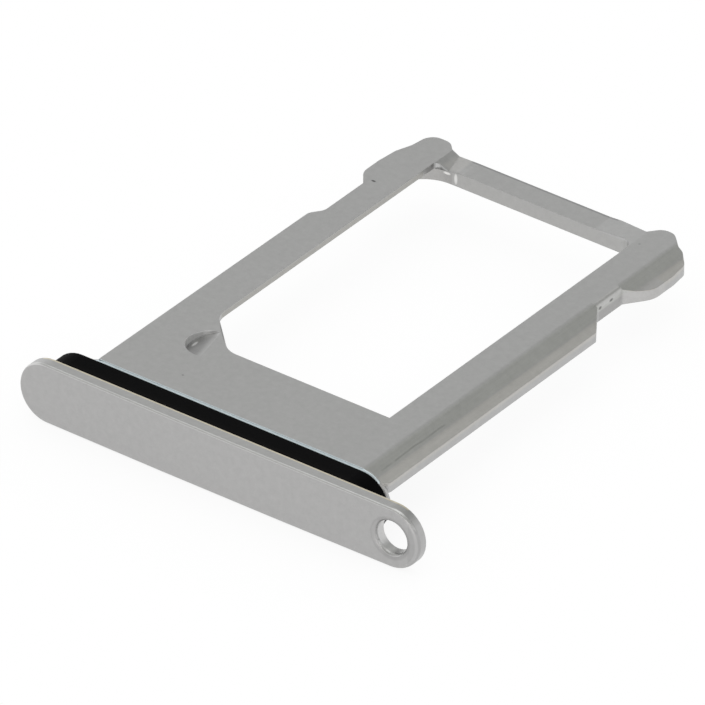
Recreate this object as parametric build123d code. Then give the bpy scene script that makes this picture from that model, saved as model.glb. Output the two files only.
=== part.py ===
from build123d import *

import math
import os

# A phone's tray for one nano card: a machined metal tray with a rubber seal round its neck.
# X runs along the face plate, Y points into the phone, Z is up, contact side of the tray on top.
# Sizes are in millimetres. Until the last step, y = 0 is the back of the face plate and z = 0 is
# the middle of its height.

# Face plate
plate_length = 14.7
plate_height = 2.04
plate_thickness = 0.45
plate_crown = 0.05
plate_edge_round = 0.12

# Hole for the eject pin, set in from the plate's end
eject_hole_radius = 0.55
eject_hole_inset = 1.0
eject_hole_round = 0.14

# Rubber seal and the neck that carries it
seal_left_inset = 0.47
seal_hole_gap = 0.93
seal_height = 2.0
seal_width = 0.79
seal_depth = 0.42
seal_round = 0.08
seal_fit = 0.01
flange_drop = 0.03
flange_left_inset = 0.78
flange_width = 0.12
flange_bevel = 0.05

# The nano card and the room round it
card_width = 8.8
card_length = 12.3
card_corner_cut = 1.65
card_corner_round = 1.0
pocket_far_round = 1.3
card_side_room = 0.05
card_end_room = 0.075
card_middle_x = -0.32
card_near = 3.33

# Frame that holds the card, and the ledge the card lies against
frame_top = 1.0
frame_thickness = 0.6
left_rail = 0.58
right_rail = 1.11
side_taper = 0.05
neck_corner_cut = 0.18
ledge_thickness = 0.2
left_ledge = 0.77
right_ledge = 0.76
near_ledge = 0.21

# Window over the card's contacts
window_corner_cut = 1.4
window_corner_round = 0.75
window_left_round = 0.18
window_right_round = 0.45

# Cross bar at the far end, set lower than the frame, with a ramp at either end
bar_width = 0.82
bar_bend = 1.07
bar_drop = 0.11
bar_ramp = 1.47
bar_scoop_width = 0.55
bar_scoop_drop = 0.2
bar_scoop_reach = 1.0
bar_scoop_lead = 0.33
bar_scoop_far_width = 0.2

# Hollowed right shoulder
shoulder_inset = 0.8
shoulder_width = 0.38
shoulder_drop = 0.215
shoulder_fall = 8.0
shoulder_top_round = 0.35
shoulder_hollow_round = 0.6

# Places on the frame's sides: "in" is inwards from the side, the rest is along Y from the
# pocket's far end, so that they all stay with the card's end

# Detent notch in the right side
notch_in = 0.66
notch_near = -3.54
notch_far = -2.28
notch_near_slant = 0.88
notch_top_round = 0.13
notch_corner_round = 0.12

# Waist in the left side
waist_in = 0.35
waist_near = -4.65
waist_slant = 0.4
waist_far = -2.32
waist_round = 0.4

# Left tip, from its near corner round to the cross bar
left_tip_out = 0.04
left_tip_near = -1.8
left_tip_near_round = 0.6
left_tip_middle = -1.03
left_tip_side_in = 0.03
left_tip_side = -0.28
left_tip_valley_in = 0.23
left_tip_valley = 0.29
left_tip_shoulder_in = 0.3
left_tip_outer_in = 0.48
left_tip_inner_in = 1.07
left_tip_far = 1.12
left_tip_round = 0.4

# Right tip, from its near corner round to the cross bar
right_tip_in = 0.07
right_tip_near = -1.48
right_tip_near_round = 0.8
right_tip_side = -0.48
right_tip_corner_in = 0.15
right_tip_corner = 0.18
right_tip_step_in = 0.54
right_tip_step = 0.61
right_tip_dent_in = 0.72
right_tip_dent = 0.63
right_tip_outer_in = 1.18
right_tip_inner_in = 1.59
right_tip_far = 1.08
right_tip_root_in = 1.92
right_tip_root = 0.67
right_tip_round = 0.4
tip_root_round = 0.08

# Scoop beside the window's slanted corner, from the window's left and near edges
scoop_in = 0.78
scoop_back = 0.01
scoop_radius = 0.74
scoop_tilt = 17.0
scoop_heading = 191.5

# Places and levels that follow from the sizes above
eject_hole_x = plate_length / 2 - eject_hole_inset
seal_left = seal_left_inset - plate_length / 2
seal_right = eject_hole_x - seal_hole_gap
groove_width = seal_width + 2 * seal_fit
flange_left = seal_left + flange_left_inset
flange_far = groove_width + flange_width
pocket_left = card_middle_x - card_width / 2 - card_side_room
pocket_right = card_middle_x + card_width / 2 + card_side_room
pocket_far = card_near + card_length + 2 * card_end_room
frame_left = pocket_left - left_rail
frame_right = pocket_right + right_rail
frame_near = groove_width + flange_width / 2
frame_far = pocket_far + left_tip_far
frame_bottom = frame_top - frame_thickness
pocket_top = frame_top - ledge_thickness
window_left = pocket_left + left_ledge
window_right = pocket_right - right_ledge
window_near = card_near + near_ledge
reach = plate_height


def prism(profile, near, far):
    """Carries a profile drawn in X and Z from one y to another."""
    return extrude(Plane.XZ.offset(-near) * profile, near - far)


def upright(outline, bottom, top):
    """Carries an outline drawn in X and Y from one height to another."""
    return extrude(Pos(0, 0, bottom) * outline, top - bottom)


def closed(points):
    """Fills a closed outline given as corners with a rounding each."""
    corners = [(x, y) for x, y, _ in points]
    rounds = [radius for _, _, radius in points]
    return make_face(FilletPolyline(*corners, radius=rounds, close=True))


def stadium(left, inset, near, far):
    """A bar with round ends, set in from the seal's outside at the top, the bottom and the right."""
    right = seal_right - inset
    return prism(Pos((left + right) / 2, 0) * SlotOverall(right - left, seal_height - 2 * inset), near, far)


def face_plate():
    half = plate_length / 2
    front = -plate_thickness
    corner = (half, front + plate_crown)
    mirrored = (-half, front + plate_crown)
    edge = Polyline(mirrored, (-half, 0), (half, 0), corner) + ThreePointArc(corner, (0, front), mirrored)
    crowned = upright(make_face(edge), -plate_height, plate_height)
    plate = crowned & prism(SlotOverall(plate_length, plate_height), front, 0)
    plate = fillet(plate.faces().sort_by(Axis.Y)[0].edges(), plate_edge_round)
    plate -= prism(Pos(eject_hole_x, 0) * Circle(eject_hole_radius), 2 * front, -front)
    mouth = [e for e in plate.edges() if on_hole_mouth(e)]
    return fillet(mouth, eject_hole_round)


def on_hole_mouth(edge):
    """Whether an edge is the rim of the eject hole in the plate's front."""
    middle = edge.bounding_box().center()
    radius = edge.bounding_box().size.Z / 2
    same_place = abs(middle.X - eject_hole_x) < eject_hole_radius / 2 and middle.Y < -plate_thickness / 2
    return same_place and abs(radius - eject_hole_radius) < eject_hole_radius / 10


def neck():
    core = stadium(seal_left + seal_depth, seal_depth, -plate_thickness / 2, frame_near)
    flange = stadium(flange_left, flange_drop, groove_width, flange_far)
    front_edges = flange.faces().sort_by(Axis.Y)[0].edges()
    return core + chamfer(front_edges, flange_bevel)


def seal():
    ring = stadium(seal_left, 0, seal_fit, seal_fit + seal_width)
    rims = ring.faces().sort_by(Axis.Y)
    ring = fillet(rims[0].edges() + rims[-1].edges(), seal_round)
    hole = seal_depth - seal_fit
    return ring - stadium(seal_left + hole, hole, -plate_thickness, flange_far)


def placed(corners, side):
    """Moves corners given from a side of the frame and the pocket's far end to their place."""
    return [(side + x, pocket_far + y, radius) for x, y, radius in corners]


def right_side():
    """The frame's right side, from the neck round the right tip to the cross bar."""
    return placed(
        [
            (-side_taper, notch_near - notch_near_slant, notch_corner_round),
            (-notch_in, notch_near, notch_corner_round),
            (-notch_in, notch_far, notch_corner_round),
            (-right_tip_in, right_tip_near, right_tip_near_round),
            (-right_tip_in, right_tip_side, waist_round),
            (-right_tip_corner_in, right_tip_corner, right_tip_round),
            (-right_tip_step_in, right_tip_step, right_tip_round / 2),
            (-right_tip_dent_in, right_tip_dent, right_tip_round / 2),
            (-right_tip_outer_in, right_tip_far, right_tip_round),
            (-right_tip_inner_in, right_tip_far, right_tip_round),
            (-right_tip_root_in, right_tip_root, tip_root_round),
        ],
        frame_right,
    )


def left_side():
    """The frame's left side, from the cross bar round the left tip to the neck."""
    return placed(
        [
            (left_tip_inner_in, left_tip_far, left_tip_round),
            (left_tip_outer_in, left_tip_far, left_tip_round),
            (left_tip_shoulder_in, bar_width, left_tip_round),
            (left_tip_valley_in, left_tip_valley, waist_round),
            (left_tip_side_in, left_tip_side, waist_round),
            (-left_tip_out, left_tip_middle, waist_round),
            (-left_tip_out, left_tip_near, left_tip_near_round),
            (waist_in, waist_far, tip_root_round),
            (waist_in, waist_near + waist_slant, waist_round),
            (side_taper, waist_near, waist_round),
        ],
        frame_left,
    )


def frame_outline():
    bar_far = pocket_far + bar_width
    bar = [(window_right - bar_bend, bar_far, waist_round), (window_left, bar_far, tip_root_round)]
    neck_end = [
        (frame_left, frame_near, 0),
        (frame_right - neck_corner_cut, frame_near, 0),
        (frame_right, frame_near + neck_corner_cut, neck_corner_cut),
    ]
    return closed(neck_end + right_side() + bar + left_side())


def shouldered_section():
    """Cross-section of the frame with the hollowed right shoulder."""
    start_x = frame_right - shoulder_inset
    valley_x = start_x + shoulder_width
    valley_z = frame_top - shoulder_drop
    end_x = valley_x + reach
    end_z = valley_z - reach * math.tan(math.radians(shoulder_fall))
    return closed(
        [
            (-plate_length, frame_bottom, 0),
            (end_x, frame_bottom, 0),
            (end_x, end_z, 0),
            (valley_x, valley_z, shoulder_hollow_round),
            (start_x, frame_top, shoulder_top_round),
            (-plate_length, frame_top, 0),
        ]
    )


def notched_section():
    """Cross-section of the frame where the notch is, rounded over at the notch's upper edge."""
    notch_x = frame_right - notch_in
    return closed(
        [
            (-plate_length, frame_bottom, 0),
            (notch_x, frame_bottom, 0),
            (notch_x, frame_top, notch_top_round),
            (-plate_length, frame_top, 0),
        ]
    )


def frame_blank():
    notch_start = pocket_far + notch_near
    notch_end = pocket_far + notch_far
    sections = prism(shouldered_section(), 0, notch_start)
    sections += prism(notched_section(), notch_start, notch_end)
    sections += prism(shouldered_section(), notch_end, frame_far + reach)
    return sections & upright(frame_outline(), frame_bottom - reach, frame_top + reach)


def card_pocket():
    outline = closed(
        [
            (pocket_left + card_corner_cut, card_near, card_corner_round / 2),
            (pocket_right, card_near, card_corner_round),
            (pocket_right, pocket_far, pocket_far_round),
            (pocket_left, pocket_far, pocket_far_round),
            (pocket_left, card_near + card_corner_cut, card_corner_round / 2),
        ]
    )
    return upright(outline, frame_bottom - reach, pocket_top)


def window():
    outline = closed(
        [
            (window_left + window_corner_cut, window_near, window_corner_round),
            (window_right, window_near, 0),
            (window_right, pocket_far, window_right_round),
            (window_left, pocket_far, window_left_round),
            (window_left, window_near + window_corner_cut, window_corner_round),
        ]
    )
    return upright(outline, pocket_top, frame_top + reach)


def bar_recess_section(valley_x, valley_z):
    """Cross-section of what is cut off the bar, with its left ramp down to the valley."""
    floor = frame_top - bar_drop
    above = 2 * frame_top
    left_run = (valley_x - window_left) / (frame_top - valley_z)
    right_run = bar_ramp / bar_drop
    ramp_start = window_right - bar_ramp
    return make_face(
        Polyline(
            (window_left - left_run * (above - frame_top), above),
            (valley_x, valley_z),
            (window_left + bar_scoop_reach, floor),
            (ramp_start, floor),
            (ramp_start + right_run * (above - floor), above),
            close=True,
        )
    )


def bar_recess():
    near = bar_recess_section(window_left + bar_scoop_width, frame_top - bar_scoop_drop)
    far = bar_recess_section(window_left + bar_scoop_far_width, frame_top - bar_drop)
    start = Plane.XZ.offset(bar_scoop_lead - pocket_far) * near
    end = Plane.XZ.offset(-frame_far) * far
    return loft([start, end], ruled=True)


def corner_scoop():
    tilt = math.radians(scoop_tilt)
    heading = math.radians(scoop_heading)
    up = (math.sin(tilt) * math.cos(heading), math.sin(tilt) * math.sin(heading), math.cos(tilt))
    middle = (window_left + scoop_in, window_near - scoop_back, frame_top)
    floor = Plane(origin=middle, z_dir=up)
    return extrude(floor * Circle(scoop_radius), reach)


def frame():
    return frame_blank() - card_pocket() - window() - bar_recess() - corner_scoop()


def tray():
    return face_plate() + neck() + frame()


def settle(shape):
    """Moves a shape so that the origin lies under the tray's middle, at the height of its lowest side."""
    return Pos(0, (plate_thickness - frame_far) / 2, plate_height / 2) * shape


os.makedirs("parts", exist_ok=True)
export_step(settle(tray()), "parts/tray.step")
export_step(settle(seal()), "parts/seal.step")
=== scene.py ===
import math
import bpy
from mathutils import Matrix, Vector


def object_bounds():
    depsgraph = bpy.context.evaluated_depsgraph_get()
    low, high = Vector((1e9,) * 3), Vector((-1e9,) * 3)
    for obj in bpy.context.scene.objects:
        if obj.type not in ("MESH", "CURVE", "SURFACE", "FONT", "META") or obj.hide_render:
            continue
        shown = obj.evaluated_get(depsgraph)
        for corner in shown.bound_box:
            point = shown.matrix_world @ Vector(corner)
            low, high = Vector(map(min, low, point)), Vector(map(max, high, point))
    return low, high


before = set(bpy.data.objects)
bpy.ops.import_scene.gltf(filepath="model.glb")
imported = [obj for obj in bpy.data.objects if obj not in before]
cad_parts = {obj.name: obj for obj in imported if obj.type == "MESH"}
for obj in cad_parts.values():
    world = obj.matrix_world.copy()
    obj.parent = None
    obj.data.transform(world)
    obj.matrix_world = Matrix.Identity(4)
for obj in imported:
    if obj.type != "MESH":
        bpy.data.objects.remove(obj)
cadLow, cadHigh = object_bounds()
print("tray frame loaded")

mm = 0.001


class Wire:
    # one shader socket; maths written on it becomes nodes of its tree
    def __init__(self, tree, socket=None):
        self.tree = tree
        self.socket = socket

    def node(self, kind, settings=None, inputs=None, out=0):
        made = self.tree.nodes.new(kind)
        for name, value in (settings or {}).items():
            setattr(made, name, value)
        for name, value in (inputs or {}).items():
            if isinstance(value, Wire):
                self.tree.links.new(value.socket, made.inputs[name])
            else:
                made.inputs[name].default_value = value
        return Wire(self.tree, made.outputs[out] if len(made.outputs) else None)

    def math(self, operation, *values):
        return self.node("ShaderNodeMath", {"operation": operation}, dict(enumerate(values)))

    def __add__(self, other):
        return self.math("ADD", self, other)

    def __radd__(self, other):
        return self.math("ADD", other, self)

    def __sub__(self, other):
        return self.math("SUBTRACT", self, other)

    def __rsub__(self, other):
        return self.math("SUBTRACT", other, self)

    def __mul__(self, other):
        return self.math("MULTIPLY", self, other)

    def __rmul__(self, other):
        return self.math("MULTIPLY", other, self)

    def within(self, low, high):
        # 0 below low, 1 above high, soft between
        settings = {"interpolation_type": "SMOOTHSTEP", "clamp": True}
        return self.node("ShaderNodeMapRange", settings, {0: self, 1: low, 2: high})

    def band(self, low, high, soft):
        # 1 between low and high, fading over soft on either side
        return self.within(low - soft, low) * (1 - self.within(high, high + soft))

    def tint(self, base, colour):
        # this mask lays colour over base
        return self.node("ShaderNodeMix", {"data_type": "RGBA"}, {0: self, 6: base, 7: colour}, out=2)

    def shade(self, colour):
        # multiplies a colour by this value
        grey = self.node("ShaderNodeCombineColor", None, {0: self, 1: self, 2: self})
        settings = {"data_type": "RGBA", "blend_type": "MULTIPLY"}
        return self.node("ShaderNodeMix", settings, {0: 1.0, 6: colour, 7: grey}, out=2)

    def vector(self, operation, other=(0, 0, 0), out=0):
        return self.node("ShaderNodeVectorMath", {"operation": operation}, {0: self, 1: other}, out)

    def along(self, axis):
        # the X, Y or Z of this vector
        return self.node("ShaderNodeSeparateXYZ", None, {0: self}, out=axis)

    def nearTo(self, spot, radii):
        # 1 at a spot, fading out towards an ellipsoid round it
        away = self.vector("SUBTRACT", spot).vector("MULTIPLY", [1 / radius for radius in radii])
        return 1 - away.vector("LENGTH", out="Value").within(markCore, 1.0)

    def noise(self, scale, detail=2.0, rough=0.5):
        inputs = {"Vector": self, "Scale": scale, "Detail": detail, "Roughness": rough}
        return self.node("ShaderNodeTexNoise", None, inputs)

    def swing(self, depth):
        # a noise turned into a swing to either side of 0
        return (self - 0.5) * depth


def newMaterial(name):
    made = bpy.data.materials.new(name)
    made.use_nodes = True
    made.node_tree.nodes.clear()
    return made, Wire(made.node_tree)


def placeOnPart(start):
    # the place on the part in millimetres, and its x, y and z
    place = start.node("ShaderNodeTexCoord", out="Object").vector("MULTIPLY", (1 / mm, 1 / mm, 1 / mm))
    return place, place.along("X"), place.along("Y"), place.along("Z")


def inBox(axes, low, high, fade):
    # 1 inside a box given by its low and high corners
    inside = 1.0
    for axis, start, end in zip(axes, low, high):
        inside = axis.band(start, end, fade) * inside
    return inside


def howFar(across, up):
    squares = across * across + up * up
    return squares.math("SQRT", squares)


def assign(node, material):
    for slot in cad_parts[node].material_slots:
        slot.material = material


# Camera: at the photograph's angle, far off with a long lens
cameraView = {
    "place": (301.319, -411.199, 327.349),
    "right": (0.8012039, 0.5982997, 0.0104774),
    "up": (-0.3299698, 0.4271320, 0.8418303),
    "lens": 1041.504,
    "sensor": 36,
    "clip": (50, 5000),
}


def makeCamera():
    data = bpy.data.cameras.new("photoCamera")
    data.sensor_width = cameraView["sensor"]
    data.lens = cameraView["lens"]
    data.clip_start, data.clip_end = (reach * mm for reach in cameraView["clip"])
    camera = bpy.data.objects.new("photoCamera", data)
    bpy.context.scene.collection.objects.link(camera)
    right = Vector(cameraView["right"])
    up = Vector(cameraView["up"])
    turn = Matrix((right, up, right.cross(up))).transposed().to_4x4()
    camera.matrix_world = Matrix.Translation(Vector(cameraView["place"]) * mm) @ turn
    bpy.context.scene.camera = camera


makeCamera()
print("camera placed")


# Light: a pale room that is darker overhead, and two wide soft lamps
room = {
    "side": (1.0, 1.0, 1.0, 1),
    "overhead": (0.36, 0.365, 0.35, 1),
    "sideHeight": 0.36,
    "overheadHeight": 0.80,
    "strength": 1.0,
}

lamps = {
    "frontLamp": {"place": (230, -360, 80), "size": 400, "power": 0.2, "colour": (1.0, 0.97, 0.94)},
    "topLamp": {"place": (-60, 40, 320), "size": 320, "power": 0.2, "colour": (1.0, 1.0, 1.0)},
}


def makeRoom():
    world = bpy.data.worlds.new("paleRoom")
    world.use_nodes = True
    world.node_tree.nodes.clear()
    start = Wire(world.node_tree)
    height = start.node("ShaderNodeTexCoord", out="Generated").along("Z")
    colour = height.within(room["sideHeight"], room["overheadHeight"]).tint(room["side"], room["overhead"])
    light = start.node("ShaderNodeBackground", None, {"Color": colour, "Strength": room["strength"]})
    start.node("ShaderNodeOutputWorld", None, {"Surface": light})
    bpy.context.scene.world = world


def makeLamps():
    for name, lamp in lamps.items():
        data = bpy.data.lights.new(name, "AREA")
        data.shape = "DISK"
        data.size = lamp["size"] * mm
        data.energy = lamp["power"]
        data.color = lamp["colour"]
        made = bpy.data.objects.new(name, data)
        bpy.context.scene.collection.objects.link(made)
        place = Vector(lamp["place"]) * mm
        made.location = place
        made.rotation_mode = "QUATERNION"
        made.rotation_quaternion = place.to_track_quat("Z", "Y")
        made.visible_camera = False


makeRoom()
makeLamps()
print("room and lamps made")


# Floor: a wide round sheet of pale paper under the face plate
floorSheet = {
    "radius": 700,
    "sides": 96,
    "drop": 0.02,
    "paper": (0.86, 0.86, 0.86, 1),
    "white": (1, 1, 1, 1),
    "shadowReach": 5.0,
    "shadowShare": 0.15,
    "shadowSamples": 12,
}


def floorRim():
    turn = 2 * math.pi / floorSheet["sides"]
    radius = floorSheet["radius"] * mm
    level = cadLow.z - floorSheet["drop"] * mm
    angles = [turn * i for i in range(floorSheet["sides"])]
    return [(radius * math.cos(angle), radius * math.sin(angle), level) for angle in angles]


def makePaper():
    # white where it is seen, apart from the shade close to the part, and matt paper for other light
    paper, start = newMaterial("floorPaper")
    seen = 0.0
    for ray in ("Is Camera Ray", "Is Glossy Ray", "Is Transmission Ray"):
        seen = start.math("MAXIMUM", seen, start.node("ShaderNodeLightPath", out=ray))
    samples = {"samples": floorSheet["shadowSamples"]}
    reach = {"Distance": floorSheet["shadowReach"] * mm}
    openness = start.node("ShaderNodeAmbientOcclusion", samples, reach, out="AO")
    shown = seen * (1 - (1 - openness) * floorSheet["shadowShare"])
    matt = start.node("ShaderNodeBsdfDiffuse", None, {"Color": floorSheet["paper"]})
    white = start.node("ShaderNodeEmission", None, {"Color": floorSheet["white"], "Strength": 1.0})
    mixed = start.node("ShaderNodeMixShader", None, {0: shown, 1: matt, 2: white})
    start.node("ShaderNodeOutputMaterial", None, {"Surface": mixed})
    return paper


def makeFloor():
    rim = floorRim()
    mesh = bpy.data.meshes.new("floorPaper")
    mesh.from_pydata(rim, [], [list(range(len(rim)))])
    sheet = bpy.data.objects.new("floorPaper", mesh)
    bpy.context.scene.collection.objects.link(sheet)
    mesh.materials.append(makePaper())


makeFloor()
print("floor laid")


# Blasted and anodised metal of the tray, with painted light and shade
trayFinish = {
    "metal": (0.447, 0.447, 0.444, 1),
    "roughness": 0.36,
    "cloud": {"scale": 0.45, "detail": 3.0},
    "cloudDepth": 0.05,
    "cloudRough": 0.08,
    "mottle": {"scale": 4.5, "rough": 0.6},
    "mottleDepth": 0.16,
    "grain": {"scale": 19.0, "detail": 3.0, "rough": 0.6},
    "grainDepth": 0.10,
    "grainHeight": 0.7,
    "fine": {"scale": 51.3},
    "fineRough": 0.12,
    "fineHeight": 0.3,
    "relief": 0.0035,
    "edgeRadius": 0.025,
    "edgeSamples": 8,
    "edgeTurn": (0.01, 0.25),
    "edgeRough": 0.06,
}

# cutter lines drawn along the hollowed shoulder
cutterLines = {
    "stretch": (17, 0.5, 17),
    "noise": {"scale": 1.0, "detail": 4.0, "rough": 0.6},
    "startX": (4.42, 4.52),
    "lowest": (1.45, 1.5),
    "depth": 0.16,
    "height": 0.8,
}

# one broken line that a cutter's corner left along the shoulder
witnessLine = {
    "stretch": (0.5, 1.3, 0.5),
    "noise": {"scale": 1.0},
    "wander": 0.12,
    "alongX": (4.72, 4.745, 0.02),
    "alongY": (-6.8, -2.9, 0.2),
    "gaps": (0.4, 0.5),
    "lowest": (1.7, 1.75),
    "depth": 0.2,
}

# painted light: walls that face the front right are painted brighter; so is the plate's rounded upper edge
frontLitWalls = {"facing": (0.5, -0.86, 0.0), "turn": (0.88, 0.98), "lift": 0.14}
plateRounding = {"near": (-8.53, -8.5), "lean": (0.45, 0.6), "flat": (0.92, 0.985), "lift": 0.5}

# painted light and shade of single areas, with painted highlights on the strip behind the seal and the
# plate's rear edge: low and high corner in millimetres, fade, colour and how much of it
areaLightAndShade = {
    "stripBehindSeal": ((-6.6, -7.43, 1.6), (5.0, -7.35, 2.1), 0.02, (0.82, 0.92, 0.97, 1), 1.0),
    "plateRearEdge": ((-7.3, -8.275, 1.97), (7.3, -8.2, 2.1), 0.02, (0.72, 0.66, 0.50, 1), 0.8),
    "notchWall": ((4.50, 4.1, 1.3), (4.66, 5.2, 1.86), 0.02, (0.380, 0.376, 0.372, 1), 1.0),
    "plateFront": ((-7.4, -8.8, -0.1), (7.4, -8.6, 2.1), 0.03, (0.430, 0.427, 0.424, 1), 1.0),
    "plateEnd": ((7.0, -8.8, -0.1), (7.5, -8.5, 2.1), 0.05, (0.394, 0.392, 0.390, 1), 1.0),
    "barFarEdge": ((-3.3, 8.31, 1.8), (2.2, 8.40, 2.0), 0.02, (0.320, 0.320, 0.322, 1), 0.9),
    "barWall": ((-3.4, 7.45, 1.3), (3.0, 7.60, 1.88), 0.03, (0.425, 0.423, 0.415, 1), 1.0),
    "shoulderDark": ((4.45, -7.3, 1.78), (4.78, 8.7, 1.98), 0.06, (0.475, 0.48, 0.46, 1), 0.8),
    "shoulderLow": ((4.90, -7.3, 1.70), (5.5, 8.7, 1.85), 0.10, (0.50, 0.49, 0.465, 1), 0.8),
    "notchRounding": ((4.44, 4.1, 1.85), (4.62, 5.2, 2.03), 0.03, (0.50, 0.50, 0.49, 1), 0.9),
    "leftWindowEdge": ((-4.03, -3.2, 1.78), (-3.98, 6.9, 1.99), 0.01, (0.390, 0.384, 0.362, 1), 0.9),
    "earWall": ((4.6, 5.2, 1.3), (5.6, 6.6, 1.80), 0.03, (0.480, 0.475, 0.468, 1), 1.0),
    "cornerWall": ((-4.6, 6.6, 1.0), (-3.42, 7.62, 1.80), 0.04, (0.370, 0.364, 0.356, 1), 0.9),
    "rampFade": ((-3.7, 7.7, 1.75), (-3.3, 8.6, 2.0), 0.15, (0.520, 0.515, 0.505, 1), 0.9),
    "barWallEnd": ((3.0, 7.3, 1.3), (3.5, 7.62, 1.90), 0.05, (0.39, 0.39, 0.38, 1), 0.8),
}

# painted highlights, set the same way, for lines along edges only
edgeHighlights = {
    "earNearEdge": ((4.6, 5.2, 1.6), (5.3, 6.2, 1.9), 0.02, (0.80, 0.74, 0.60, 1), 0.8),
}

# single marks, with painted shade in the notch pits and painted highlights in the glints: spot and radii in
# millimetres, and how far they darken (or lighten, below 0)
marksShadeAndGlints = {
    "leftTipPit": ((-4.82, 5.515, 2.02), (0.10, 0.055, 0.05), 0.75),
    "nearSpeck": ((-2.85, -6.545, 2.02), (0.045, 0.045, 0.045), 0.4),
    "notchPitNearShade": ((4.58, 4.16, 1.86), (0.08, 0.10, 0.07), 0.6),
    "notchPitFarShade": ((4.58, 4.72, 1.86), (0.08, 0.12, 0.06), 0.6),
    "farDot": ((3.561, 7.537, 2.02), (0.05, 0.05, 0.05), 0.25),
    "shoulderDash": ((4.456, -6.907, 1.87), (0.05, 0.12, 0.05), -0.3),
    "earGlint": ((4.53, 6.997, 1.82), (0.05, 0.10, 0.06), -0.4),
    "scoopGlint": ((-3.74, -4.76, 1.84), (0.09, 0.20, 0.07), -1.5),
    "cornerGlintTop": ((-3.9, 7.349, 1.957), (0.09, 0.09, 0.08), -1.0),
    "cornerGlintLow": ((-3.583, 7.555, 1.76), (0.16, 0.12, 0.06), -1.0),
    "cornerGlintTall": ((-3.26, 7.555, 1.67), (0.08, 0.12, 0.24), -0.7),
}
markCore = 0.45  # share of a mark's radius before it starts to fade

# the scoop beside the window's slanted corner: its place and slope, and the painted light and shade of its
# wall and floor
scoop = {
    "middle": (-3.22, -4.695),
    "heading": 191.5,
    "slope": 0.3057,
    "rim": (0.78, 0.80),
    "top": 2.02,
    "belowTop": (2.014, 2.018),
    "lowest": (1.70, 1.75),
    "windowSum": (-7.32, -7.31),  # x + y along the window's slanted edge
    "wallStart": (0.01, 0.05),
    "wallRun": (0.1, 0.5),
    "wallRim": 0.80,
    "wallDeep": 1.75,
    "floorRun": (0.0, 0.25),
    "floorRim": 0.84,
    "floorMiddle": 0.58,
    "foot": (0.42, 0.74),
    "footAhead": (-0.3, 0.1),
    "footLift": 0.42,
}

# painted shade: the dark line along the top of the window's slanted edge
slantedEdge = {
    "sum": (-7.36, -7.31),  # of x and y
    "height": (1.95, 1.99),
    "alongX": (-3.47, -3.2, 0.3),
    "nearY": (-4.9, -4.6),
    "depth": 0.4,
}

# the eject hole: its middle, and the painted light of its bored wall and painted shade round its rounded
# mouth
ejectHole = {
    "x": 6.35,
    "z": 1.02,
    "wall": (0.56, 0.58),
    "mouth": (0.67, 0.75),
    "wallLift": 0.25,
    "mouthDrop": 0.15,
}


def scoopLightAndShade(x, y, z):
    # painted light and shade: 1 outside the scoop, lighter down its wall and darker on its floor, apart
    # from the foot of the wall
    heading = math.radians(scoop["heading"])
    across = x - scoop["middle"][0]
    ahead = y - scoop["middle"][1]
    down = across * math.cos(heading) + ahead * math.sin(heading)
    away = howFar(across, ahead)
    inside = (1 - away.within(*scoop["rim"])) * (1 - z.within(*scoop["belowTop"]))
    inside = inside * (1 - (x + y).within(*scoop["windowSum"])) * z.within(*scoop["lowest"])
    onWall = (z - scoop["top"] + down * scoop["slope"]).within(*scoop["wallStart"])
    wall = scoop["wallRim"] + down.within(*scoop["wallRun"]) * (scoop["wallDeep"] - scoop["wallRim"])
    floor = scoop["floorRim"] + down.within(*scoop["floorRun"]) * (scoop["floorMiddle"] - scoop["floorRim"])
    floor = floor + away.within(*scoop["foot"]) * ahead.within(*scoop["footAhead"]) * scoop["footLift"]
    return 1 + inside * (floor + onWall * (wall - floor) - 1)


def holeLightAndShade(x, z):
    # painted light in the bored wall of the eject hole, painted shade round its mouth
    away = howFar(x - ejectHole["x"], z - ejectHole["z"])
    onWall = 1 - away.within(*ejectHole["wall"])
    onMouth = (1 - away.within(*ejectHole["mouth"])) * (1 - onWall)
    return 1 + onWall * ejectHole["wallLift"] - onMouth * ejectHole["mouthDrop"]


def slantedEdgeShade(x, y, z):
    # painted shade along the top of the slanted edge
    onEdge = (x + y).within(*slantedEdge["sum"]) * z.within(*slantedEdge["height"])
    onEdge = onEdge * x.band(*slantedEdge["alongX"]) * y.within(*slantedEdge["nearY"])
    return 1 - onEdge * slantedEdge["depth"]


def witnessTone(place, x, y, z):
    broken = place.vector("MULTIPLY", witnessLine["stretch"]).noise(**witnessLine["noise"])
    wavy = x + broken.swing(witnessLine["wander"])
    line = wavy.band(*witnessLine["alongX"]) * y.band(*witnessLine["alongY"])
    line = line * broken.within(*witnessLine["gaps"]) * z.within(*witnessLine["lowest"])
    return 1 - line * witnessLine["depth"]


def facingLight(flatNormal, y):
    # painted light: lighter on the walls that face the front right and on the plate's rounded upper edge
    frontLitMask = flatNormal.vector("DOT_PRODUCT", frontLitWalls["facing"], "Value").within(*frontLitWalls["turn"])
    lean = flatNormal.along("Z")
    rounding = lean.within(*plateRounding["lean"]) * (1 - lean.within(*plateRounding["flat"]))
    rounding = rounding * (1 - y.within(*plateRounding["near"]))
    return (1 + frontLitMask * frontLitWalls["lift"]) * (1 + rounding * plateRounding["lift"])


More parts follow.
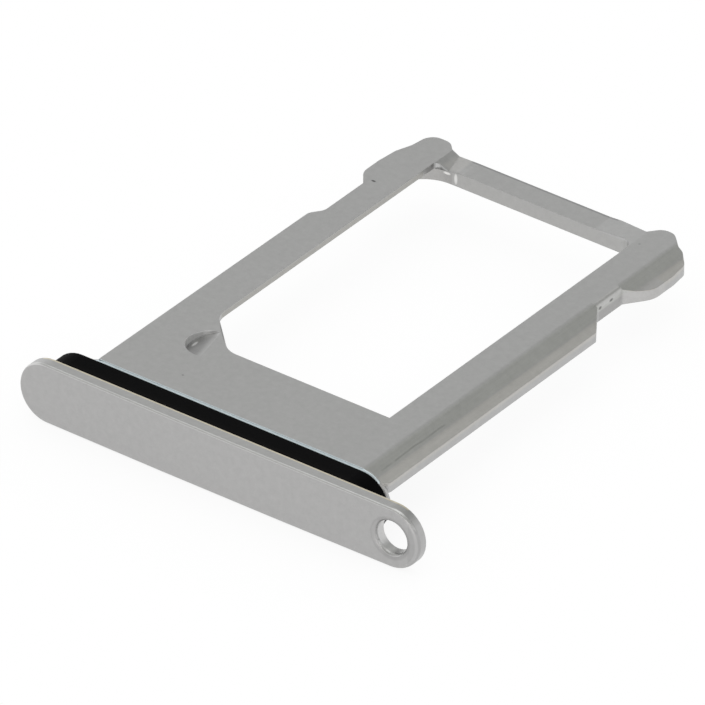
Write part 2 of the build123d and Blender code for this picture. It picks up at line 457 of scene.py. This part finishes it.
def makeTrayMetal():
    look = trayFinish
    metal, start = newMaterial("trayMetal")
    place, x, y, z = placeOnPart(start)

    cloud = place.noise(**look["cloud"])
    mottle = place.noise(**look["mottle"])
    grain = place.noise(**look["grain"])
    fine = place.noise(**look["fine"])
    lines = place.vector("MULTIPLY", cutterLines["stretch"]).noise(**cutterLines["noise"])
    onShoulder = x.within(*cutterLines["startX"]) * z.within(*cutterLines["lowest"])

    tone = 1 + cloud.swing(look["cloudDepth"]) + grain.swing(look["grainDepth"])
    tone = tone + mottle.swing(look["mottleDepth"]) + onShoulder * lines.swing(cutterLines["depth"])
    tone = tone * witnessTone(place, x, y, z)
    # marks, painted shade in the notch pits and painted highlights in the glints
    for spot, radii, depth in marksShadeAndGlints.values():
        tone = tone * (1 - place.nearTo(spot, radii) * depth)
    # painted light and shade of the scoop, the eject hole and the window's slanted edge
    tone = tone * scoopLightAndShade(x, y, z) * holeLightAndShade(x, z) * slantedEdgeShade(x, y, z)

    # edge is 1 where the rounded normal leaves the flat one
    samples = {"samples": look["edgeSamples"]}
    radius = {"Radius": look["edgeRadius"] * mm}
    edgeNormal = start.node("ShaderNodeBevel", samples, radius)
    flatNormal = start.node("ShaderNodeNewGeometry", out="Normal")
    edge = (1 - edgeNormal.vector("DOT_PRODUCT", flatNormal, "Value")).within(*look["edgeTurn"])
    # painted light on the walls that face the front right and on the plate's rounded upper edge
    tone = tone * facingLight(flatNormal, y)

    base = look["metal"]
    # painted light and shade of single areas
    for low, high, fade, colour, share in areaLightAndShade.values():
        base = (inBox((x, y, z), low, high, fade) * share).tint(base, colour)
    # painted highlights along edges
    for low, high, fade, colour, share in edgeHighlights.values():
        base = (inBox((x, y, z), low, high, fade) * edge * share).tint(base, colour)

    rough = look["roughness"] + fine.swing(look["fineRough"]) + cloud.swing(look["cloudRough"])
    rough = rough - edge * look["edgeRough"]
    height = grain * look["grainHeight"] + fine * look["fineHeight"]
    height = height + onShoulder * lines * cutterLines["height"]
    bump = {"Height": height, "Distance": look["relief"] * mm, "Strength": 1.0, "Normal": edgeNormal}
    surface = start.node("ShaderNodeBsdfPrincipled", None, {
        "Base Color": tone.shade(base),
        "Metallic": 1.0,
        "Roughness": rough,
        "Normal": start.node("ShaderNodeBump", None, bump),
    })
    start.node("ShaderNodeOutputMaterial", None, {"Surface": surface})
    assign("tray", metal)


makeTrayMetal()
print("tray metal finished")


# Moulded black rubber of the seal
sealFinish = {
    "rubber": (0.0022, 0.0022, 0.0024, 1),
    "front": (0.0046, 0.0045, 0.0045, 1),
    "frontEnd": (-8.12, -7.95),
    "roughness": 0.55,
    "specular": 0.02,
    "plainTone": 0.85,
    "grain": {"scale": 16.0, "detail": 4.0, "rough": 0.6},
    "grainTone": 0.3,
    "grainRough": 0.2,
    "relief": 0.004,
    "dust": {"scale": 3.1, "detail": 4.0, "rough": 0.65},
    "dustPatches": (0.56, 0.78),
    "dustTone": 0.35,
    "dustRough": 0.12,
}


def makeSealRubber():
    look = sealFinish
    rubber, start = newMaterial("sealRubber")
    place, _, y, _ = placeOnPart(start)
    grain = place.noise(**look["grain"])
    dust = place.noise(**look["dust"]).within(*look["dustPatches"])
    nearFront = 1 - y.within(*look["frontEnd"])
    tone = look["plainTone"] + grain * look["grainTone"] + dust * look["dustTone"]
    bump = {"Height": grain, "Distance": look["relief"] * mm, "Strength": 1.0}
    surface = start.node("ShaderNodeBsdfPrincipled", None, {
        "Base Color": tone.shade(nearFront.tint(look["rubber"], look["front"])),
        "Roughness": look["roughness"] + grain.swing(look["grainRough"]) + dust * look["dustRough"],
        "Specular IOR Level": look["specular"],
        "Normal": start.node("ShaderNodeBump", None, bump),
    })
    start.node("ShaderNodeOutputMaterial", None, {"Surface": surface})
    assign("seal", rubber)


makeSealRubber()
print("seal rubber finished")


bpy.context.scene.view_settings.view_transform = "Standard"
